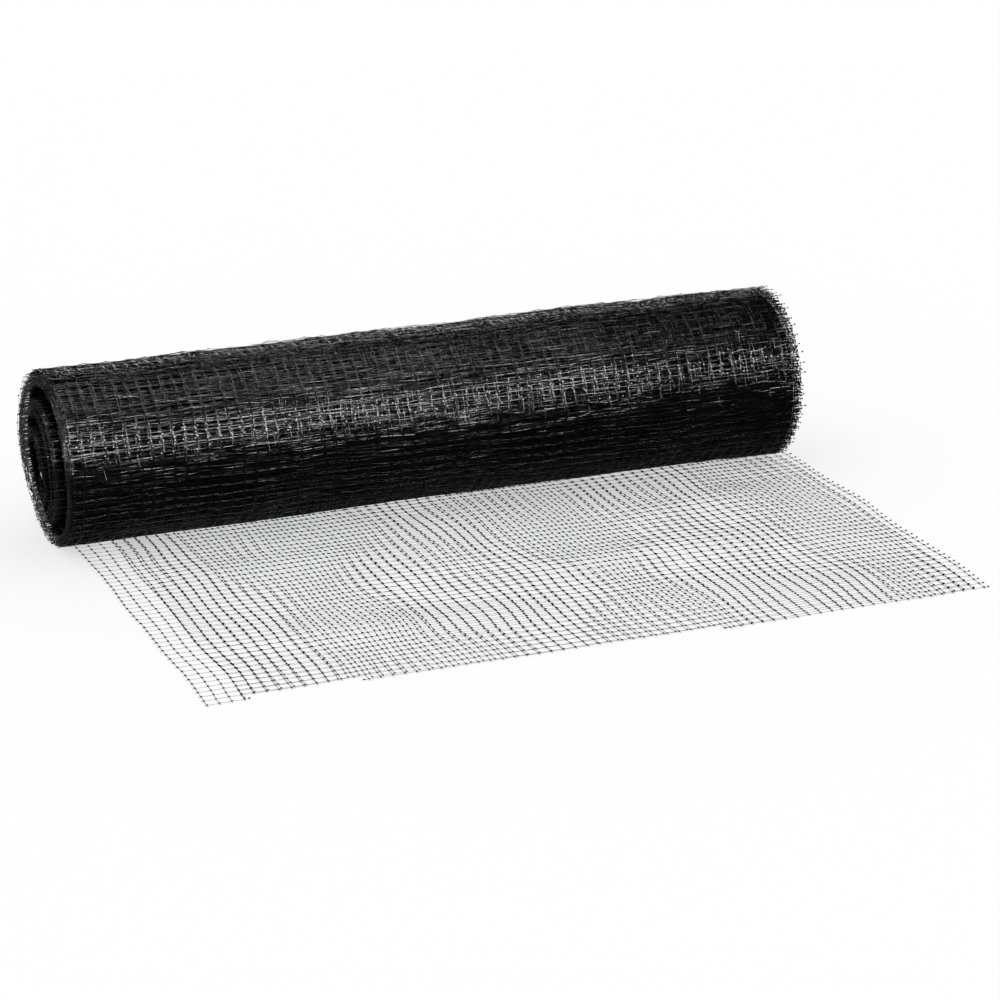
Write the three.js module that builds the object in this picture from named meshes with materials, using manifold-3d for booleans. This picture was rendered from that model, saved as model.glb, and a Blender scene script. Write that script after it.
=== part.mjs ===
// Roll of black plastic mole netting with its loose end drawn out over the floor.
// Millimetres, +Z up. The roll's axis runs along X and the loose end lies towards -Y.
import * as THREE from 'three';
import { mergeVertices } from 'three/addons/utils/BufferGeometryUtils.js';
import Module from 'manifold-3d';

const wasm = await Module();
wasm.setup();

// The net
const netWidth = 1000; // from the first length strand to the last
const meshesAcross = 66;
const rowPitch = 14;
const stubLength = 6; // cut ends of the cross strands, past the outer length strands
const stubWidth = 3;

// The wound roll
const rollStart = -32; // stub tips at the left end, from the first length strand at the foot
const rollEnd = 986;
const rollRadiusY = 115.5;
const rollRadiusZ = 117.5;
const footDepth = 1.2; // how far the round form is pressed flat where it rests
const rimTilt = 5; // the end's back edge stands out further than its front edge
const coilShift = 9; // the inner coils have slid this far towards the left end
const outlinePoints = 56;
const lengthSteps = 8;
const rimRows = 52; // cross strands around the roll
const rimNotchDepth = 4; // into the wall
const rimNotchLength = 12; // a single net stands past the packed turns at both ends

// The roll's outline swells and sinks a little along its length
const swell = [
  // share of length, growth of radius
  [0, 0],
  [0.12, -1.4],
  [0.3, -1.6],
  [0.45, -0.8],
  [0.6, 0.4],
  [0.8, 0.8],
  [1, -0.6],
];

// Loose winding leaves crescent gaps between the outer turns and the inner coils.
// A turn of 0 is at the bottom, 0.25 at the back, 0.5 at the top and 0.75 at the front.
const outerGap = {
  centre: [12, 109.5],
  rows: [
    // turn, middle radius, width
    [0.2, 92, 0],
    [0.32, 92, 8],
    [0.5, 92, 18],
    [0.65, 91.5, 28],
    [0.75, 91.5, 31],
    [0.86, 91, 24],
    [1, 90, 9],
    [1.1, 88, 3],
    [1.18, 87, 0],
  ],
};
const innerGap = {
  centre: [34, 98],
  rows: [
    // turn, middle radius, width
    [0.22, 58, 0],
    [0.35, 59, 9],
    [0.5, 59.5, 16],
    [0.64, 59, 18],
    [0.76, 58, 16],
    [0.9, 58, 9],
    [1, 57.5, 4],
    [1.12, 56, 0],
  ],
};
const gapSteps = 16;

// The hollow middle, closed by the net's inner end, which laps over the first turn
const core = {
  centre: [42, 95],
  startTurn: 0.42,
  turns: 0.985,
  startRadius: 41,
  endRadius: 35.5,
  points: 28,
};

// The loose end
const flapTurn = THREE.MathUtils.degToRad(1.8); // the roll has swung a little on its loose end
const flapStart = 29; // the sheet begins under the roll's belly, this far in front of its axis
const flapFar = 603;
const flapSpread = { left: 6, right: 12 }; // the cut edge lies this much further right than the foot
const edgeBow = 3; // the right edge swings out between its ends
const sheetThickness = 1.6;
const flapSegments = { across: 30, along: 18 };
const ripples = [
  // place across, place along, half length across, half length along, height, turn in degrees
  [250, 190, 260, 62, 2.4, 6],
  [640, 340, 310, 70, 3, -5],
  [300, 450, 230, 56, 2.2, 9],
  [830, 180, 160, 56, 2.2, -9],
];

const netting = new THREE.MeshStandardMaterial({ color: 0x16171a, roughness: 0.36, metalness: 0 });

// Smooth value at a place in a table whose first column is that place
function lookUp(table, place, column) {
  const last = table.length - 1;
  const at = THREE.MathUtils.clamp(place, table[0][0], table[last][0]);
  let row = 0;
  while (row < last - 1 && at > table[row + 1][0]) row += 1;
  const share = THREE.MathUtils.smoothstep(at, table[row][0], table[row + 1][0]);
  return THREE.MathUtils.lerp(table[row][column], table[row + 1][column], share);
}

// Point of a winding: turn 0 points down, a quarter turn points to the back
function windingPoint(centre, turn, radius) {
  const angle = (turn - 0.25) * 2 * Math.PI;
  return new THREE.Vector2(centre[0] + radius * Math.cos(angle), centre[1] + radius * Math.sin(angle));
}

function gapPath({ centre, rows }) {
  const first = rows[0][0];
  const span = rows[rows.length - 1][0] - first;
  const outside = [];
  const inside = [];
  for (let step = 0; step <= gapSteps; step += 1) {
    const turn = first + (span * step) / gapSteps;
    const middle = lookUp(rows, turn, 1);
    const half = lookUp(rows, turn, 2) / 2;
    outside.push(windingPoint(centre, turn, middle + half));
    if (step > 0 && step < gapSteps) inside.push(windingPoint(centre, turn, middle - half));
  }
  return new THREE.Path([...outside, ...inside.reverse()]);
}

function corePath({ centre, startTurn, turns, startRadius, endRadius, points }) {
  const wall = [];
  for (let step = 0; step < points; step += 1) {
    const share = step / (points - 1);
    const radius = THREE.MathUtils.lerp(startRadius, endRadius, share);
    wall.push(windingPoint(centre, startTurn + share * turns, radius));
  }
  return new THREE.Path(wall);
}

// Cross section in the Y, Z plane, with its lowest stretch pressed flat later
function rollSection() {
  const outline = [];
  for (let step = 0; step < outlinePoints; step += 1) {
    const angle = (2 * Math.PI * step) / outlinePoints;
    const height = rollRadiusZ * (1 + Math.sin(angle)) - footDepth;
    outline.push(new THREE.Vector2(rollRadiusY * Math.cos(angle), height));
  }
  const section = new THREE.Shape(outline);
  section.holes.push(gapPath(outerGap), gapPath(innerGap), corePath(core));
  return section;
}

// The coils have slid along the axis, so the ends are not flat
function slide(y, z) {
  const fromAxis = Math.hypot(y / rollRadiusY, (z - rollRadiusZ) / rollRadiusZ);
  return -rimTilt * (y / rollRadiusY) - coilShift * Math.max(0, 1 - fromAxis);
}

// Moves every vertex of a geometry by a function of its place
function reshape(geometry, move) {
  const position = geometry.attributes.position;
  const point = new THREE.Vector3();
  for (let index = 0; index < position.count; index += 1) {
    point.fromBufferAttribute(position, index);
    move(point);
    position.setXYZ(index, point.x, point.y, point.z);
  }
  return geometry;
}

function toSolid(geometry) {
  const bare = geometry.clone();
  bare.deleteAttribute('normal');
  bare.deleteAttribute('uv');
  const merged = mergeVertices(bare, 1e-4);
  const mesh = new wasm.Mesh({
    numProp: 3,
    vertProperties: new Float32Array(merged.attributes.position.array),
    triVerts: new Uint32Array(merged.index.array),
  });
  mesh.merge();
  return new wasm.Manifold(mesh);
}

function toGeometry(solid) {
  const { vertProperties, triVerts } = solid.getMesh();
  const geometry = new THREE.BufferGeometry();
  geometry.setAttribute('position', new THREE.BufferAttribute(new Float32Array(vertProperties), 3));
  geometry.setIndex(new THREE.BufferAttribute(new Uint32Array(triVerts), 1));
  geometry.computeVertexNormals();
  return geometry;
}

function cutAll(solid, cutters) {
  return cutters.reduce((left, cutter) => left.subtract(toSolid(cutter)), solid);
}

function woundRoll() {
  const length = rollEnd - rollStart;
  const body = new THREE.ExtrudeGeometry(rollSection(), {
    depth: length,
    steps: lengthSteps,
    bevelEnabled: false,
  });
  // The extrusion runs along Z with the section in X, Y: turn it to run along X
  reshape(body, (point) => {
    const share = point.z / length;
    const grow = 1 + lookUp(swell, share, 1) / rollRadiusZ;
    const y = point.x * grow;
    const z = (point.y - rollRadiusZ) * grow + rollRadiusZ + lookUp(swell, share, 1);
    point.set(rollStart + share * length + slide(point.x, point.y), y, Math.max(0, z));
  });
  return cutAll(toSolid(body), rimNotches());
}

// Between the cross strands the outermost net is open at both rims
function rimNotches() {
  const notches = [];
  const wide = (2 * Math.PI * rollRadiusY) / rimRows - stubWidth;
  for (const rim of [rollStart, rollEnd]) {
    for (let row = 0; row < rimRows; row += 1) {
      const turn = (row + 0.5) / rimRows;
      if (turn < 0.06 || turn > 0.94) continue; // the stretch that rests stays whole
      const notch = new THREE.BoxGeometry(2 * rimNotchLength, 2 * rimNotchDepth, wide);
      const at = windingPoint([0, rollRadiusZ], turn, rollRadiusY + 1);
      notch.rotateX((turn - 0.25) * 2 * Math.PI);
      notch.translate(rim + slide(at.x, at.y), at.x, at.y);
      notches.push(notch);
    }
  }
  return notches;
}

// A place on the net, across from its first length strand and along from the roll's foot
function flapPlace(across, along, height) {
  const run = along / flapFar;
  const lean = THREE.MathUtils.lerp(flapSpread.left, flapSpread.right, across / netWidth) * run;
  const bow = edgeBow * Math.sin(Math.PI * run) * Math.max(0, across / netWidth);
  const x = across + lean + bow;
  return new THREE.Vector3(
    x * Math.cos(flapTurn) + along * Math.sin(flapTurn),
    x * Math.sin(flapTurn) - along * Math.cos(flapTurn),
    height,
  );
}

function rippleHeight(across, along) {
  return ripples.reduce((height, [x, y, halfX, halfY, top, degrees]) => {
    const turn = THREE.MathUtils.degToRad(degrees);
    const u = ((across - x) * Math.cos(turn) + (along - y) * Math.sin(turn)) / halfX;
    const v = ((along - y) * Math.cos(turn) - (across - x) * Math.sin(turn)) / halfY;
    const away = Math.min(1, Math.hypot(u, v));
    return Math.max(height, top * (0.5 + 0.5 * Math.cos(Math.PI * away)));
  }, 0);
}

// The net leaves the roll square to the roll's axis, not to its own strands
function leavesRollAt(across) {
  return (flapStart + across * Math.sin(flapTurn)) / Math.cos(flapTurn);
}

function looseEnd() {
  const wide = netWidth + 2 * stubLength;
  const sheet = new THREE.BoxGeometry(wide, 1, sheetThickness, flapSegments.across, flapSegments.along, 1);
  reshape(sheet, (point) => {
    const across = point.x + netWidth / 2;
    const along = THREE.MathUtils.lerp(leavesRollAt(across), flapFar + stubLength, 0.5 - point.y);
    const height = rippleHeight(across, along) + point.z + sheetThickness / 2;
    point.copy(flapPlace(across, along, height));
  });
  return cutAll(toSolid(sheet), edgeNotches());
}

// A notch in the sheet's edge between two stubs
function notchAt(across, along, wide, long) {
  const notch = new THREE.BoxGeometry(wide, long, 8 * sheetThickness);
  const place = flapPlace(across, along, sheetThickness);
  notch.rotateZ(flapTurn);
  notch.translate(place.x, place.y, place.z);
  return notch;
}

function edgeNotches() {
  const notches = [];
  const columnPitch = netWidth / meshesAcross;
  for (const across of [-stubLength, netWidth + stubLength]) {
    for (let along = flapFar; along > leavesRollAt(across) + rowPitch; along -= rowPitch) {
      notches.push(notchAt(across, along - rowPitch / 2, 2 * stubLength, rowPitch - stubWidth));
    }
  }
  for (let column = 0; column < meshesAcross; column += 1) {
    const across = (column + 0.5) * columnPitch;
    notches.push(notchAt(across, flapFar + stubLength, columnPitch - stubWidth, 2 * stubLength));
  }
  return notches;
}

function piece(name, solid) {
  const mesh = new THREE.Mesh(toGeometry(solid), netting);
  mesh.name = name;
  return mesh;
}

const roll = new THREE.Group();
roll.add(piece('net_roll', woundRoll()), piece('net_flap', looseEnd()));

// The origin is under the middle of the whole part
const box = new THREE.Box3().setFromObject(roll);
const centre = box.getCenter(new THREE.Vector3());
roll.position.set(-centre.x, -centre.y, -box.min.z);

export default roll;
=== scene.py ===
import math

import bpy
import numpy as np
from mathutils import Matrix, Vector


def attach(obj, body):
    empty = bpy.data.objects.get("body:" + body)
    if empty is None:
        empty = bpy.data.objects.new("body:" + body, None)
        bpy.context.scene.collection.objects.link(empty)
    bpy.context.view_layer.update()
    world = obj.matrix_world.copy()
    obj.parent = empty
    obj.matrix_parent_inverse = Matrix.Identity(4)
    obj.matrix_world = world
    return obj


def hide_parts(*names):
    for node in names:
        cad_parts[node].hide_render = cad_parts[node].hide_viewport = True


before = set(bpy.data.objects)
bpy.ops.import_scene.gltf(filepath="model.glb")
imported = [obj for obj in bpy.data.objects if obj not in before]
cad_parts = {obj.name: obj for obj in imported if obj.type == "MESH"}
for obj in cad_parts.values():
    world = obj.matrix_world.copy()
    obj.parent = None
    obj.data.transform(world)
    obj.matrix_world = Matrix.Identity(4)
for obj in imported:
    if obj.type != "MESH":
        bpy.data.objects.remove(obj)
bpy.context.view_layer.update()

# Everything is laid out in millimetres from the foot corner: the roll's axis is at y = 0, the first
# length strand meets the foot at x = 0 and the floor is z = 0. onFrame() turns that into metres.
footCorner = (-0.49802, 0.24624)


def onFrame(points):
    placed = np.asarray(points, dtype=float) / 1000
    placed[..., 0] += footCorner[0]
    placed[..., 1] += footCorner[1]
    return placed


# Camera

cameraSet = {
    "place": (-1.40759, -4.16396, 1.63306),
    "azimuth": -18.797,
    "elevation": 19.531,
    "lean": -0.929,
    "lens": 130.98,
    "sensor": 36,
    "farthest": 100,
}


def makeCamera(c):
    a, e, lean = (math.radians(c[k]) for k in ("azimuth", "elevation", "lean"))
    back = Vector((math.sin(a) * math.cos(e), -math.cos(a) * math.cos(e), math.sin(e)))
    level = Vector((math.cos(a), math.sin(a), 0))
    upright = back.cross(level)
    right = level * math.cos(lean) + upright * math.sin(lean)
    up = upright * math.cos(lean) - level * math.sin(lean)
    data = bpy.data.cameras.new("camera")
    data.lens = c["lens"]
    data.sensor_width = c["sensor"]
    data.clip_end = c["farthest"]
    camera = bpy.data.objects.new("camera", data)
    turn = Matrix((right, up, back)).transposed().to_4x4()
    camera.matrix_world = Matrix.Translation(c["place"]) @ turn
    bpy.context.collection.objects.link(camera)
    bpy.context.scene.camera = camera


makeCamera(cameraSet)
print("camera set")

# Shader maths


class Wire:  # an output socket that plain expressions can be written with
    def __init__(self, finish, socket):
        self.finish, self.socket = finish, socket

    def maths(self, operation, first, second):
        return self.finish.add("ShaderNodeMath", {"operation": operation}, {0: first, 1: second})

    def __add__(self, other):
        return self.maths("ADD", self, other)

    def __radd__(self, other):
        return self.maths("ADD", other, self)

    def __sub__(self, other):
        return self.maths("SUBTRACT", self, other)

    def __rsub__(self, other):
        return self.maths("SUBTRACT", other, self)

    def __mul__(self, other):
        return self.maths("MULTIPLY", self, other)

    def __rmul__(self, other):
        return self.maths("MULTIPLY", other, self)

    def __pow__(self, other):
        return self.maths("POWER", self, other)

    def __rpow__(self, other):
        return self.maths("POWER", other, self)


class Finish:  # a material and the way its nodes are added
    def __init__(self, name):
        self.material = bpy.data.materials.new(name)
        self.material.use_nodes = True
        self.tree = self.material.node_tree
        self.tree.nodes.clear()

    def add(self, kind, settings=None, sockets=None, out=0):
        node = self.tree.nodes.new(kind)
        for key, value in (settings or {}).items():
            if key == "stops":
                self.setStops(node.color_ramp, value)
            else:
                setattr(node, key, value)
        for key, value in (sockets or {}).items():
            if isinstance(value, Wire):
                self.tree.links.new(value.socket, node.inputs[key])
            else:
                node.inputs[key].default_value = value
        return Wire(self, node.outputs[out]) if len(node.outputs) else node

    def setStops(self, ramp, stops):
        while len(ramp.elements) < len(stops):
            ramp.elements.new(1)
        for element, (place, level) in zip(ramp.elements, stops):
            element.position = place
            element.color = (level, level, level, 1)

    def place(self):  # a point's place on its piece, in metres
        return self.add("ShaderNodeTexCoord", out="Object")

    def mixColours(self, share, first, second):
        settings = {"data_type": "RGBA", "blend_type": "MIX"}
        # the node's colour sockets share their names with others, so they go by number
        return self.add("ShaderNodeMix", settings, {"Factor": share, 6: first, 7: second}, out=2)

    def noise(self, place, scale, detail=2.0):
        return self.add("ShaderNodeTexNoise", {}, {"Vector": place, "Scale": scale, "Detail": detail})

    def bump(self, p, height):
        sockets = {"Strength": p["bump"], "Distance": p["bumpDepth"], "Height": height}
        return self.add("ShaderNodeBump", {}, sockets)

    def close(self, shader):
        self.add("ShaderNodeOutputMaterial", {}, {"Surface": shader})
        return self.material


# Black extruded plastic, glossy where the strands were drawn and duller in patches

plasticSet = {
    "dark": (0.001, 0.001, 0.0011, 1),
    "pale": (0.003, 0.003, 0.0032, 1),
    "shine": 0.11,
    "roughness": (0.1, 0.25),
    "patchScale": 24,
    "patchDetail": 3,
    "patchStops": [(0.38, 0), (0.66, 1)],
    "patchShare": 0.65,  # of the roughness, and the rest comes from the grain
    "grainShare": 0.35,
    "grainScale": 900,
    "bump": 0.25,
    "bumpDepth": 0.0002,
    "ior": 1.5,
}
innerPlasticSet = {**plasticSet, "grainScale": 700}
# the cut ends are the same black plastic, rougher and with more shine; their paler colour is painted sheen,
# standing in for the light that their strands catch
paintedSheenEndSet = {
    **plasticSet,
    "dark": (0.022, 0.022, 0.024, 1),
    "pale": (0.07, 0.071, 0.074, 1),
    "shine": 0.4,
    "roughness": (0.2, 0.4),
    "grainScale": 500,
}


def blackPlastic(name, p):
    f = Finish(name)
    place = f.place()
    patch = f.noise(place, p["patchScale"], p["patchDetail"])
    grain = f.noise(place, p["grainScale"])
    mask = f.add("ShaderNodeValToRGB", {"stops": p["patchStops"]}, {"Fac": patch})
    low, high = p["roughness"]
    rough = low + (high - low) * (p["patchShare"] * patch + p["grainShare"] * grain)
    bump = f.bump(p, grain)
    shader = f.add("ShaderNodeBsdfPrincipled", {}, {
        "Base Color": f.mixColours(mask, p["dark"], p["pale"]),
        "Roughness": rough,
        "IOR": p["ior"],
        "Specular IOR Level": p["shine"],
        "Normal": bump,
    })
    return f.close(shader)


# The imported turns behind the strands: ridges of the strands that lie on top of each other, with painted
# shade: darker in the grooves between the ridges than any strand is, and without gloss

packedShadeSet = {
    # the grooves' dark is painted shade between the strands
    "dark": (0.0006, 0.0006, 0.0007, 1),
    "pale": (0.003, 0.003, 0.0033, 1),
    "shine": 0.0,
    "roughness": (0.38, 0.6),
    "ridgesAround": 52,
    "meshPitch": 0.01515,  # in metres, like the axis's height
    "axisHeight": 0.112,
    "warpScale": 18,
    "warp": (9, 8),  # of the ridges along the roll and of those round it, in radians
    "sharpness": 3.0,
    "bump": 0.8,
    "bumpDepth": 0.0012,
}


def packedShadedPlastic(name, p):
    f = Finish(name)
    place = f.place()
    warp = f.noise(place, p["warpScale"])
    split = f.add("ShaderNodeSeparateXYZ", {}, {0: place})
    x, y, z = (Wire(f, output) for output in split.socket.node.outputs)
    angle = f.add("ShaderNodeMath", {"operation": "ARCTAN2"}, {0: z - p["axisHeight"], 1: y - footCorner[1]})
    aroundTurn = angle * p["ridgesAround"] + warp * p["warp"][0]
    lengthTurn = x * (2 * math.pi / p["meshPitch"]) + warp * p["warp"][1]
    aroundWave = f.add("ShaderNodeMath", {"operation": "SINE"}, {0: aroundTurn})
    lengthWave = f.add("ShaderNodeMath", {"operation": "SINE"}, {0: lengthTurn})
    ridge = f.add("ShaderNodeMath", {"operation": "MAXIMUM"}, {0: aroundWave, 1: lengthWave})
    ridge = (ridge * 0.5 + 0.5) ** p["sharpness"]
    bump = f.bump(p, ridge)
    low, high = p["roughness"]
    # the colour goes darker from ridge to groove: painted shade between the strands
    shader = f.add("ShaderNodeBsdfPrincipled", {}, {
        "Base Color": f.mixColours(ridge, p["dark"], p["pale"]),
        "Roughness": high - (high - low) * ridge,
        "Specular IOR Level": p["shine"],
        "Normal": bump,
    })
    return f.close(shader)


finishes = {
    "strand": blackPlastic("glossy black strand", plasticSet),
    "inner": blackPlastic("black strand of the inner turns", innerPlasticSet),
    # the coils' ends get the paler colour, which is painted sheen
    "cutEnd": blackPlastic("rough black strand of the coils' ends with painted sheen", paintedSheenEndSet),
    "packed": packedShadedPlastic("packed turns with painted shade", packedShadeSet),
}
print("finishes made", len(finishes))

# Meshes of strands


def waves(seed, longest, shortest, count=9):  # a smooth random field of two lengths, about -1 to 1
    rng = np.random.default_rng(seed)
    span = np.exp(rng.uniform(math.log(shortest), math.log(longest), count))
    turn = rng.uniform(0, 2 * math.pi, count)
    phase = rng.uniform(0, 2 * math.pi, count)

    def field(u, v):
        total = np.zeros(np.broadcast(u, v).shape)
        for s, t, p in zip(span, turn, phase):
            total = total + np.sin(2 * math.pi / s * (u * math.cos(t) + v * math.sin(t)) + p)
        return total / math.sqrt(count)

    return field


def eased(share, size=1):  # from 0 to size, with a soft start and end
    return size * share * share * (3 - 2 * share)


def unit(v):
    return v / np.maximum(np.linalg.norm(v, axis=-1, keepdims=True), 1e-12)


class Weld:  # gathers vertices and faces of one joined mesh
    def __init__(self):
        self.points, self.faces, self.smooth, self.count = [], [], [], 0

    def take(self, points, faces, smooth=True):
        self.points.append(points.reshape(-1, 3))
        self.faces += [(faceSet.reshape(-1, faceSet.shape[-1]) + self.count).tolist() for faceSet in faces]
        self.smooth += [smooth] * sum(faceSet.size // faceSet.shape[-1] for faceSet in faces)
        self.count += self.points[-1].shape[0]

    def build(self, name, finish):
        mesh = bpy.data.meshes.new(name)
        faces = [face for faceSet in self.faces for face in faceSet]
        mesh.from_pydata(onFrame(np.concatenate(self.points)).tolist(), [], faces)
        mesh.polygons.foreach_set("use_smooth", self.smooth)
        mesh.materials.append(finish)
        mesh.validate()
        piece = bpy.data.objects.new(name, mesh)
        bpy.context.collection.objects.link(piece)
        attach(piece, "root")
        print(name, sum(len(face) - 2 for face in faces), "triangles")
        return piece


def addTubes(weld, paths, normals, wide, high, sides, flat):  # paths is strands x points x 3
    along = unit(np.gradient(paths, axis=1))
    side = unit(np.cross(along, normals))
    up = np.cross(side, along)
    # three sides are turned so that one lies on top, which makes a ribbon with sharp edges
    turn = 2 * math.pi * (np.arange(sides) / sides + (1 / 12 if sides == 3 else 0))
    across = side[:, :, None] * (np.cos(turn) * wide / 2)[:, None]
    rings = paths[:, :, None] + across + up[:, :, None] * (np.sin(turn) * high / 2)[:, None]
    strands, points = paths.shape[:2]
    index = np.arange(strands * points * sides).reshape(strands, points, sides)
    follow = np.roll(index, -1, axis=2)
    walls = np.stack([index[:, :-1], index[:, 1:], follow[:, 1:], follow[:, :-1]], axis=-1)
    weld.take(rings, [walls, index[:, 0], index[:, -1, ::-1]], not flat)


def addPads(weld, places, along, across, normals, size, smooth):  # four-sided, flat-topped beads of plastic
    arms = unit(along) * size[0], unit(across) * size[1]
    up = unit(normals) * size[2]
    corners = [places + i * arms[0] + j * arms[1] + up for i, j in ((-1, 0), (0, -1), (1, 0), (0, 1))]
    corners = np.stack([*corners, places - up], axis=-2)  # a point below joins the four sides
    index = np.arange(corners[..., 0].size).reshape(-1, 5)
    sides = ((0, 1, 2, 3), (1, 0, 4), (2, 1, 4), (3, 2, 4), (0, 3, 4))
    weld.take(corners, [index[:, side] for side in sides], smooth)


def runsOf(mask):  # stretches of a strand that are there, as first and last place
    edges = np.flatnonzero(np.diff(np.concatenate([[0], mask.astype(int), [0]])))
    return [(a, b) for a, b in zip(edges[::2], edges[1::2]) if b - a > 1]


def addStrands(weld, paths, normals, mask, thick, stubs, sides, flat, step, tip):
    # stubs are the lengths past the first crossing, past the last one and where the mask cuts a strand
    groups = {}
    for strand in range(paths.shape[0]):
        for a, b in runsOf(mask[strand]):
            ends = (stubs[0] if a == 0 else stubs[2], stubs[1] if b == paths.shape[1] else stubs[2])
            groups.setdefault((a, b, ends), []).append(strand)
    for (a, b, ends), strands in groups.items():
        keep = sorted(set(range(a, b, step)) | {b - 1})
        run, up = paths[strands][:, keep], normals[strands][:, keep]
        for end, inner, stub in ((0, 1, ends[0]), (-1, -2, ends[1])):
            if not stub:
                continue
            outward = unit(run[:, end] - run[:, inner])
            point, pointUp = run[:, end] + outward * stub, up[:, end]
            place = 0 if end == 0 else run.shape[1]
            run = np.insert(run, place, point, axis=1)
            up = np.insert(up, place, pointUp, axis=1)
            if tip and stub > 2 * tip[0]:  # only a stub that is longer than its bead has one
                addPads(weld, point, outward, np.cross(pointUp, outward), pointUp, tip, True)
        addTubes(weld, run, up, *thick, sides, flat)


def addNet(weld, grid, normals, strand, stubs=(0, 0, 0, 0), mask=None, pads=True, sides=4,
           flat=(False, False), step=1):
    # grid is rows x columns x 3; stubs are the cut ends past first column, last column, first row, last row;
    # flat is for the length strands and the cross strands; step 2 leaves out every second crossing
    there = np.ones(grid.shape[:2], dtype=bool) if mask is None else mask
    turned = (1, 0, 2)
    acrossStubs, lengthStubs = (stubs[0], stubs[1], stubs[1]), (stubs[2], stubs[3], stubs[3])
    addStrands(weld, grid, normals, there, strand["cross"], acrossStubs, sides, flat[1], step, strand["tip"])
    addStrands(weld, grid.transpose(turned), normals.transpose(turned), there.T, strand["length"],
               lengthStubs, sides, flat[0], step, None)
    if pads:
        along, across = np.gradient(grid, axis=0), np.gradient(grid, axis=1)
        # right-handed arms keep every bead's faces turned outwards
        across = across * np.sign(np.sum(np.cross(along, across) * normals, axis=-1, keepdims=True))
        addPads(weld, grid[there], along[there], across[there], normals[there], strand["pad"], False)


def netNormals(grid):
    return unit(np.cross(np.gradient(grid, axis=0), np.gradient(grid, axis=1)))


# The loose end: two layers of net on each other, the upper one a little gathered and cut narrower

sheetSet = {
    "meshes": 66,
    "width": 1000,
    "rowPitch": 14.0,
    "firstRow": 15.0,  # in front of the roll's foot
    "rows": 44,
    "rowsUnderRoll": 2,
    "cutSteps": [(0, 43), (52, 42), (196, 43), (640, 44)],  # from this place across, rows that the cut left
    "turn": 1.8,  # degrees that the loose end is turned from the roll
    "far": 603,  # from the foot to the cut edge
    "spread": (6, 12),  # how far the left and the right edge lean to the right at the cut edge
    "bow": 3,  # how far the right edge curves out on its way there
    "wander": (1.9, 1.6, 1.0),  # both layers together, sideways, forwards and up
    "wanderSeed": 31,
    "wanderLengths": (460, 120),
    "hover": 0.5,  # share of the wander upwards that lifts the net
    "fine": 0.2,  # each crossing's own wander
    "ripples": [
        # across, along, half length across, half length along, height, turn in degrees
        (250, 190, 260, 62, 2.4, 6),
        (640, 340, 310, 70, 3, -5),
        (300, 450, 230, 56, 2.2, 9),
        (830, 180, 160, 56, 2.2, -9),
    ],
    "flatWidth": 1.013,  # metres, with the stubs
    "strandShare": 0.3,  # of the sheet's area, what the strands of both layers cover
}
lowerSet = {"lift": 0.6, "seed": 41, "stubs": (3.6, 6, 0, 4.5)}
upperSet = {
    "lift": 1.1,  # above the lower layer
    "seed": 42,
    "stubs": (1.2, 1.2, 0, 3),
    "start": 45.45,
    "meshes": 65,
    # by place across, how many meshes the gathering has taken up
    "lost": [(45, 0), (110, 0.03), (220, 0.5), (430, 1.0), (610, 1.5), (760, 2.0), (900, 2.5), (980, 2.8)],
    "countSteps": 2000,
    "shift": (0.2, 0.27),  # of a mesh, sideways and forwards
    "shiftSeed": 52,
    "patch": (430, 170),  # longest and shortest waves of the shift
    "grip": 0.4,  # how strongly crossings of the two layers catch on each other
}
laidStrand = {
    # a strand's width and height, then half the length, width and height of the pads on its crossings
    # and of the beads at its cut ends
    "length": (0.66, 0.62), "cross": (0.39, 0.37), "pad": (2.3, 1.75, 0.8), "tip": (1.9, 1.9, 0.8),
}
rollSet = {
    "radiusY": 115.5,
    "radiusZ": 117.5,
    "wall": 117.5,
    "narrower": 1.2,  # how much less half its width is than half its height
    # how far the rims reach to the right of a flat end, at the left end and at the right end
    "rims": {"tilt": (9, 3.5), "top": (5, 3), "bottom": (4, -1)},
    "coilShift": 9,  # how far the middle has slid to the left
    "start": -32,
    "end": 986,
    "stubs": (1.5, 6),  # cut ends past the first and the last length strand
    "tilt": 0.21,  # how far each crossing's strands are twisted
    "lowest": 0.9,  # height of a strand's middle above the floor
    # by share of the length, how far the outline swells and sinks
    "swell": [(0, 0), (0.12, -1.4), (0.3, -1.6), (0.45, -0.8), (0.6, 0.4), (0.8, 0.8), (1, -0.6)],
    "restHeight": 40,  # below it the roll's own weight takes the swellings out
    "restLeast": 0.1,
}
meshPitch = sheetSet["width"] / sheetSet["meshes"]


def ripple(across, along):
    height = np.zeros(np.broadcast(across, along).shape)
    for x, y, halfX, halfY, top, degrees in sheetSet["ripples"]:
        c, s = math.cos(math.radians(degrees)), math.sin(math.radians(degrees))
        u = ((across - x) * c + (along - y) * s) / halfX
        v = ((along - y) * c - (across - x) * s) / halfY
        height = np.maximum(height, top * (0.5 + 0.5 * np.cos(np.pi * np.minimum(1, np.hypot(u, v)))))
    return height


def laidOut(across, along, lift):  # from the net's own lengths to its place on the floor
    s = sheetSet
    run = along / s["far"]
    share = across / s["width"]
    lean = (s["spread"][0] + (s["spread"][1] - s["spread"][0]) * share) * run
    x0 = across + lean + s["bow"] * np.sin(np.pi * np.clip(run, 0, 1)) * np.maximum(0, share)
    c, t = math.cos(math.radians(s["turn"])), math.sin(math.radians(s["turn"]))
    x, y = x0 * c + along * t, x0 * t - along * c
    z = ripple(across, along) + lift
    # behind the line where the roll rests, the net goes up its back
    behind = np.maximum(0, y) / rollSet["wall"]
    y = np.where(y > 0, rollSet["wall"] * np.sin(behind), y)
    z = z + rollSet["wall"] * (1 - np.cos(behind))
    return np.stack([x, y, z], axis=-1)


wander = [waves(sheetSet["wanderSeed"] + i, *sheetSet["wanderLengths"]) for i in range(3)]


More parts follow.
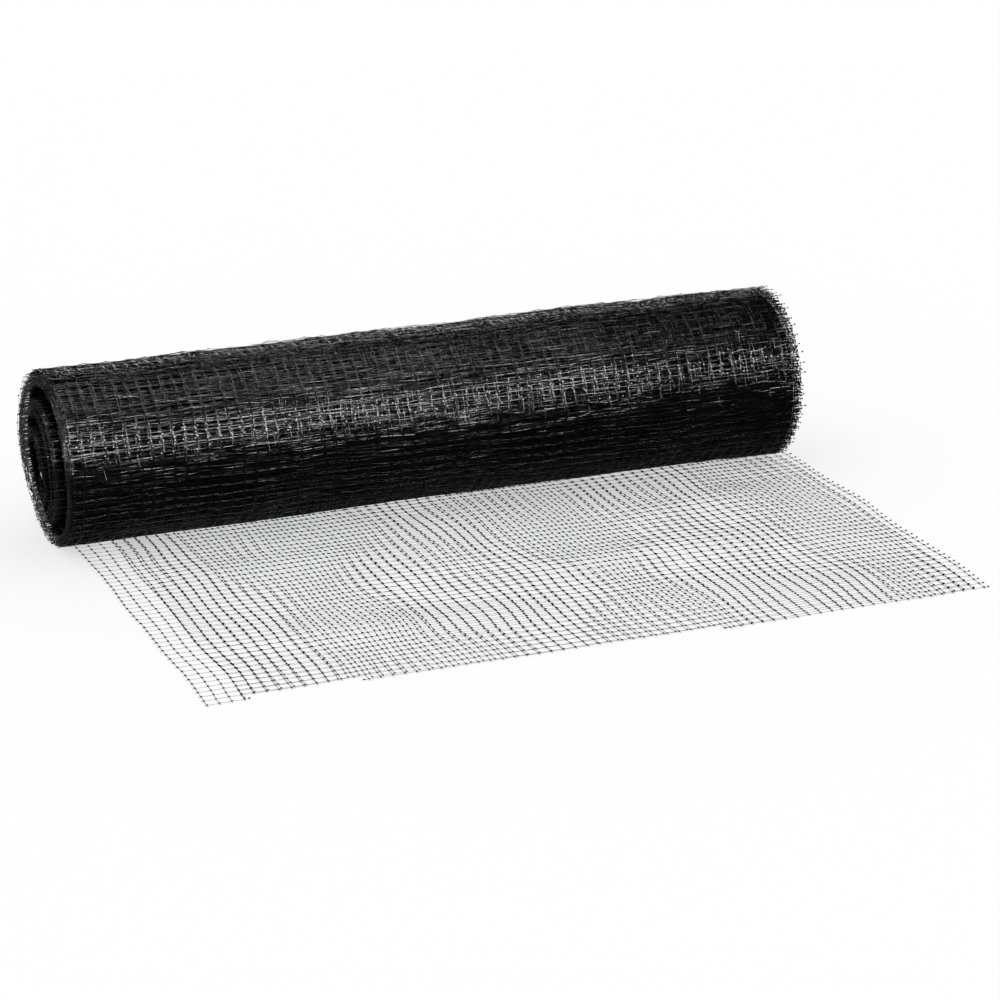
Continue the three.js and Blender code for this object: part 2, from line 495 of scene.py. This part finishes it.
def layOnFloor(weld, across, along, lift, seed, stubs):
    s = sheetSet
    fine = np.random.default_rng(seed)
    sideways, forwards, up = (size * field(across, along) for size, field in zip(s["wander"], wander))
    starts = np.maximum(0, across[-1])
    rowsLeft = np.array([[n for place, n in s["cutSteps"] if place <= start][-1] for start in starts])
    there = np.arange(across.shape[0])[:, None] < (rowsLeft + s["rowsUnderRoll"])[None]
    across = across + sideways + fine.normal(0, s["fine"], across.shape)
    along = along + forwards + fine.normal(0, s["fine"], along.shape)
    grid = laidOut(across, along, lift + s["hover"] * np.abs(up))
    addNet(weld, grid, netNormals(grid), laidStrand, stubs, there)


def held(phase, grip):  # crossings of two nets catch on each other, at the same place or halfway between
    return phase - grip * np.sin(4 * np.pi * phase) / (4 * np.pi)


def layLooseEnd():
    s, low, u = sheetSet, lowerSet, upperSet
    rows = s["firstRow"] + s["rowPitch"] * np.arange(-s["rowsUnderRoll"], s["rows"])
    weld = Weld()
    across, along = np.meshgrid(meshPitch * np.arange(s["meshes"] + 1), rows)
    layOnFloor(weld, across, along, low["lift"], low["seed"], low["stubs"])
    # where each strand of the upper layer starts, by counting meshes on a fine scale
    places = np.linspace(u["start"], s["width"], u["countSteps"])
    lost = np.interp(places, *np.array(u["lost"]).T)
    counted = (places - u["start"]) / meshPitch + lost
    strands = np.arange(u["meshes"] + 1)
    start, along = np.meshgrid(np.interp(strands, counted, places), rows)
    drifts = [waves(u["shiftSeed"] + i, *u["patch"])(start, along) for i in range(2)]
    sideways, forwards = (shift * drift for shift, drift in zip(u["shift"], drifts))
    lostHere = held(np.interp(start, *np.array(u["lost"]).T) + sideways, u["grip"])
    across = u["start"] + meshPitch * (strands[None] - lostHere)
    along = along + s["rowPitch"] * held(forwards, u["grip"])
    layOnFloor(weld, across, along, low["lift"] + u["lift"], u["seed"], u["stubs"])
    return weld.build("loose_end_net", finishes["strand"])


looseEnd = layLooseEnd()
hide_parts("net_flap")
print("loose end laid")

# The wound turns. A turn of 0 is at the bottom, 0.25 at the back, 0.5 at the top and 0.75 at the front.

outerGap = {
    "centre": (12, 109.5),
    "rows": [
        # turn, middle radius, width
        (0.2, 92, 0), (0.32, 92, 8), (0.5, 92, 18), (0.65, 91.5, 28), (0.75, 91.5, 31),
        (0.86, 91, 24), (1, 90, 9), (1.1, 88, 3), (1.18, 87, 0), (1.2, 92, 0),
    ],
}
innerGap = {
    "centre": (34, 98),
    "rows": [
        (0.22, 58, 0), (0.35, 59, 9), (0.5, 59.5, 16), (0.64, 59, 18), (0.76, 58, 16),
        (0.9, 58, 9), (1, 57.5, 4), (1.12, 56, 0), (1.22, 58, 0),
    ],
}
core = {"centre": (42, 95), "startTurn": 0.42, "startRadius": 41, "endRadius": 35.5}
coils = {
    # outer wall, inner wall, where a turn begins
    "shell": ("outline", "outerGapOutside", 0.0),
    "middleCoil": ("outerGapInside", "innerGapOutside", 0.3),
    "innerCoil": ("innerGapInside", "core", 0.42),
}


def smoothTable(rows, places, column):
    table = np.array(rows, dtype=float)
    start = table[0, 0]
    wrapped = start + np.mod(places - start, 1.0)
    spot = np.clip(np.searchsorted(table[:, 0], wrapped, side="right") - 1, 0, len(table) - 2)
    low, high = table[spot], table[spot + 1]
    share = eased(np.clip((wrapped - low[..., 0]) / (high[..., 0] - low[..., 0]), 0, 1))
    return low[..., column] + (high[..., column] - low[..., column]) * share


def wound(centre, turn, radiusY, radiusZ):
    angle = (turn - 0.25) * 2 * math.pi
    return np.stack([centre[0] + radiusY * np.cos(angle), centre[1] + radiusZ * np.sin(angle)], axis=-1)


def wallLine(which, turn):
    if which == "outline":
        return wound((0, rollSet["radiusZ"]), turn, rollSet["wall"] - rollSet["narrower"], rollSet["wall"])
    if which == "core":
        share = np.mod(turn - core["startTurn"], 1.0)
        radius = core["startRadius"] + (core["endRadius"] - core["startRadius"]) * share
        return wound(core["centre"], turn, radius, radius)
    gap = outerGap if which.startswith("outer") else innerGap
    side = 1 if which.endswith("Outside") else -1
    radius = smoothTable(gap["rows"], turn, 1) + side * smoothTable(gap["rows"], turn, 2) / 2
    return wound(gap["centre"], turn, radius, radius)


def runAt(x):  # share of the roll's length
    return (x - rollSet["start"]) / (rollSet["end"] - rollSet["start"])


def slide(x, yz):  # the ends aren't flat, and the inner coils have slid to the left
    y, z = yz[..., 0] / rollSet["radiusY"], yz[..., 1] / rollSet["radiusZ"] - 1
    run = runAt(x)
    tilt, top, bottom = (np.interp(run, (0, 1), rollSet["rims"][k]) for k in ("tilt", "top", "bottom"))
    rim = -tilt * y + np.where(z > 0, top, bottom) * z * z
    return rim - rollSet["coilShift"] * np.maximum(0, 1 - np.hypot(y, z))


def swellAt(x):
    return np.interp(runAt(x), *np.array(rollSet["swell"]).T)


# dents and swellings that all the turns share
settleSet = {"seed": 5, "lengths": (620, 170), "around": 730, "size": 0.7}
settle = waves(settleSet["seed"], *settleSet["lengths"])
# the shell doesn't hang down at the front, by places along the roll
tuckSet = {"turn": 0.93, "reach": 0.15, "rows": [(-32, 1), (250, 2), (450, 5), (880, 5.5), (986, 2.5)]}


def between(coil, share, turn, x, extra=0.0):  # place in a coil's wall, from 0 outside to 1 inside
    outerWall, innerWall, _ = coils[coil]
    share = np.clip(share, 0, 1)[..., None]
    yz = wallLine(outerWall, turn) * (1 - share) + wallLine(innerWall, turn) * share
    out = unit(yz - np.array([0, rollSet["radiusZ"]]))
    settled = settleSet["size"] * settle(x, turn * settleSet["around"])
    free = np.clip(yz[..., 1] / rollSet["restHeight"], rollSet["restLeast"], 1)
    grow = (swellAt(x) + settled + extra) * free
    if coil == "shell":
        away = np.abs(np.mod(turn - tuckSet["turn"] + 0.5, 1) - 0.5) / tuckSet["reach"]
        deep = np.interp(x, *np.array(tuckSet["rows"]).T)
        grow = grow - deep * np.clip(1 - away, 0, 1) ** 2 * (1 + 2 * np.minimum(away, 1))
    return yz + out * grow[..., None]


windSet = {
    "lineSteps": 90,  # that a turn's length is measured with
    "seedStep": 10,
    "lapStart": 0.78,  # on the last stretch of a turn, it sinks by a share of the wall
    "lapLength": 0.22,
    "lapDepth": 0.06,
    "roughLengths": (300, 80),
    "sidewaysLengths": (300, 110),
    "forwardsLengths": (300, 140),
    "sideways": 0.8,
    "forwards": 1.3,
    "fineSideways": 0.65,
    "fineForwards": 0.75,
    "fineOut": 1,  # times the looseness
    "looseness": {"outermost": 1.3, "shell": 0.8, "ends": 0.25},
    "drift": 3.0,  # sideways, in the middle of the roll's length
}


def woundGrid(coil, share, x, seed, looseness, drift):  # x is the place of every length strand
    w = windSet
    outerWall, innerWall, begin = coils[coil]
    once = np.linspace(0, 1, w["lineSteps"])
    line = wallLine(outerWall, once) * (1 - share) + wallLine(innerWall, once) * share
    around = np.sum(np.linalg.norm(np.diff(line, axis=0), axis=-1))
    rowCount = int(round(around / sheetSet["rowPitch"])) + 1
    rng = np.random.default_rng(seed)
    lengths = (w["roughLengths"], w["sidewaysLengths"], w["forwardsLengths"])
    seeds = [seed + w["seedStep"] * i for i in (1, 2, 3)]
    rough, sideways, forwards = (waves(own, *pair) for own, pair in zip(seeds, lengths))
    first = rng.uniform(0, 1) / rowCount if coil != "shell" or share > 0 else 0
    turn, xGrid = np.meshgrid(begin + first + np.linspace(0, 1, rowCount), x, indexing="ij")
    arc = turn * around
    ahead = w["forwards"] * forwards(xGrid, arc) + rng.normal(0, w["fineForwards"], arc.shape)
    turn = turn + ahead / around
    sink = eased(np.clip((turn - begin - w["lapStart"]) / w["lapLength"], 0, 1), w["lapDepth"])
    loose = looseness * (rough(xGrid, arc) + rng.normal(0, w["fineOut"], arc.shape))
    yz = between(coil, share + sink, turn, xGrid, loose)
    inside = np.sin(np.pi * np.clip((xGrid - x[0]) / (x[-1] - x[0]), 0, 1))
    xPlace = xGrid + slide(xGrid, yz) + (w["sideways"] + drift * inside) * sideways(xGrid, arc)
    xPlace = xPlace + rng.normal(0, w["fineSideways"], xGrid.shape)
    return np.stack([xPlace, yz[..., 0], np.maximum(yz[..., 1], rollSet["lowest"])], axis=-1)


woundStrand = {
    "length": (0.46, 0.4), "cross": (0.68, 0.6), "pad": (1.25, 1.25, 0.4), "tip": (1.4, 1.4, 0.7),
}


def addTurn(weld, coil, share, x, seed, looseness, drift, **netOptions):
    grid = woundGrid(coil, share, x, seed, looseness, drift)
    tilt = np.random.default_rng(seed).normal(0, rollSet["tilt"], grid.shape)
    addNet(weld, grid, unit(netNormals(grid) + tilt), woundStrand, (*rollSet["stubs"], 0, 0), **netOptions)


firstStrand, lastStrand = rollSet["start"] + rollSet["stubs"][0], rollSet["end"] - rollSet["stubs"][1]
ribbons = {"sides": 3, "flat": (True, True)}
turnSet = {
    "seed": 101,
    "turns": [
        # piece, finish, mesh options, then its layers: share of the shell's wall, inset left, inset right
        ("wound_outer_turn", "strand", ribbons, [(0, 0, 0), (0.02, 3, 5), (0.04, 1.5, 4)]),
        ("wound_second_turn", "strand", {"sides": 3, "flat": (True, False)},
         [(0.06, 5, 7), (0.08, 2, 5), (0.1, 4, 6)]),
        ("wound_deep_turns", "inner", {**ribbons, "pads": False, "step": 2},
         [(0.12, 2, 5), (0.14, 6, 7), (0.16, 4, 6), (0.18, 3, 5), (0.21, 5, 7), (0.24, 2, 6), (0.27, 4, 7),
          (0.3, 3, 6)]),
    ],
}


def windTurns():
    pieces, seed = [], turnSet["seed"]
    for name, finish, options, layers in turnSet["turns"]:
        weld = Weld()
        for share, left, right in layers:
            x = np.linspace(firstStrand + left, lastStrand - right, sheetSet["meshes"] + 1)
            looseness = windSet["looseness"]["shell" if share else "outermost"]
            addTurn(weld, "shell", share, x, seed, looseness, windSet["drift"], **options)
            seed += 1
        pieces.append(weld.build(name, finishes[finish]))
    return pieces


endSet = {
    "seed": 77,
    "turnSeeds": (200, 10199),  # each turn draws its own from this range
    "columns": 2,
    "deepest": 0.98,
    "coils": {
        # layers, the first one's share of the wall, least and most inset
        "shell": (14, 0.31, (0.5, 4)),
        "middleCoil": (12, 0.02, (0, 3.5)),
        "innerCoil": (9, 0.02, (0, 3.5)),
    },
}


def windEnds():  # the inner turns show only at both ends
    weld = Weld()
    rng = np.random.default_rng(endSet["seed"])
    inwards = meshPitch * np.arange(endSet["columns"])
    for coil, (layers, firstShare, inset) in endSet["coils"].items():
        for share in np.linspace(firstShare, endSet["deepest"], layers):
            for side, edge in ((-1, firstStrand), (1, lastStrand)):
                start = edge - side * rng.uniform(*inset)
                x = np.sort(start - side * inwards)
                seed = int(rng.integers(*endSet["turnSeeds"]))
                addTurn(weld, coil, share, x, seed, windSet["looseness"]["ends"], 0, **ribbons)
    return weld.build("wound_coil_ends", finishes["cutEnd"])


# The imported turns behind, as closed rings set back from both ends

ringSet = {
    "inset": 13,  # from both ends
    "around": 96,
    "stations": 24,
    "lowest": 2,
    "walls": {"shell": (0.32, 0.98), "middleCoil": (0.05, 0.95), "innerCoil": (0.05, 0.95)},
}


def packTurns():
    weld = Weld()
    first, last = rollSet["start"] + ringSet["inset"], rollSet["end"] - ringSet["inset"]
    stations = np.linspace(first, last, ringSet["stations"])
    x, turn = np.meshgrid(stations, np.arange(ringSet["around"]) / ringSet["around"], indexing="ij")
    for coil, shares in ringSet["walls"].items():
        walls = []
        for share in shares:
            yz = between(coil, np.full(x.shape, share), turn, x)
            z = np.maximum(yz[..., 1], ringSet["lowest"])
            walls.append(np.stack([x + slide(x, yz), yz[..., 0], z], axis=-1))
        points = np.stack(walls)  # outside and inside, stations, around
        index = np.arange(points[..., 0].size).reshape(points.shape[:3])
        follow = np.roll(index, -1, axis=2)
        outer = np.stack([index[0, :-1], follow[0, :-1], follow[0, 1:], index[0, 1:]], axis=-1)
        inner = np.stack([index[1, :-1], index[1, 1:], follow[1, 1:], follow[1, :-1]], axis=-1)
        left = np.stack([index[0, 0], index[1, 0], follow[1, 0], follow[0, 0]], axis=-1)
        right = np.stack([index[0, -1], follow[0, -1], follow[1, -1], index[1, -1]], axis=-1)
        weld.take(points, [outer, inner, left, right])
    return weld.build("wound_packed_turns", finishes["packed"])


for piece in (*windTurns(), windEnds(), packTurns()):
    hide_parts("net_roll")
print("roll wound")

# Floor and lights

stageSet = {
    "floorSize": 60,
    "floorColour": (0.62, 0.62, 0.62, 1),
    "floorRoughness": 0.9,
    "floorGlow": 0.7,
    "glowColour": (1, 1, 1, 1),
    "worldColour": (1, 1, 1, 1),
    "worldStrength": 0.48,
    "gamma": 0.8,
    "lights": [
        # name, place, aim, size, power
        ("keyLeft", (0.3, -2.4, 1.48), (-0.1, 0.13, 0.12), (0.9, 1.4), 375),
        ("keyRight", (1.3, -2.3, 2.0), (0.2, 0.13, 0.12), (0.9, 1.5), 380),
        ("top", (0.3, 0.2, 2.6), (0, 0.1, 0), (2.6, 1.6), 235),
        ("side", (-2.6, 0.3, 1.3), (-0.5, 0.2, 0.12), (1.2, 1.2), 520),
        ("back", (0.7, 2.9, 1.1), (0, 0.15, 0.2), (1.8, 0.8), 40),
    ],
}


def makeFloor(s):
    f = Finish("pale floor")
    shader = f.add("ShaderNodeBsdfPrincipled", {}, {
        "Base Color": s["floorColour"], "Roughness": s["floorRoughness"], "Specular IOR Level": 0.0,
        "Emission Color": s["glowColour"], "Emission Strength": s["floorGlow"],
    })
    half = s["floorSize"] / 2
    corners = [(-half, -half, 0), (half, -half, 0), (half, half, 0), (-half, half, 0)]
    mesh = bpy.data.meshes.new("floor")
    mesh.from_pydata(corners, [], [(0, 1, 2, 3)])
    mesh.materials.append(f.close(shader))
    floor = bpy.data.objects.new("floor", mesh)
    bpy.context.collection.objects.link(floor)


def makeLights(s):
    world = bpy.data.worlds.new("studio")
    world.use_nodes = True
    background = world.node_tree.nodes["Background"]
    background.inputs["Color"].default_value = s["worldColour"]
    background.inputs["Strength"].default_value = s["worldStrength"]
    bpy.context.scene.world = world
    for name, place, aim, size, power in s["lights"]:
        data = bpy.data.lights.new(name, "AREA")
        data.shape = "RECTANGLE"
        data.size, data.size_y = size
        data.energy = power
        light = bpy.data.objects.new(name, data)
        light.location = place
        light.visible_diffuse = False  # these give the gloss, and the sky and the floor's glow the rest
        light.rotation_euler = (Vector(place) - Vector(aim)).to_track_quat("Z", "Y").to_euler()
        bpy.context.collection.objects.link(light)
    view = bpy.context.scene.view_settings
    view.view_transform = "Standard"
    view.look = "None"
    view.gamma = s["gamma"]


makeFloor(stageSet)
makeLights(stageSet)
print("stage set")
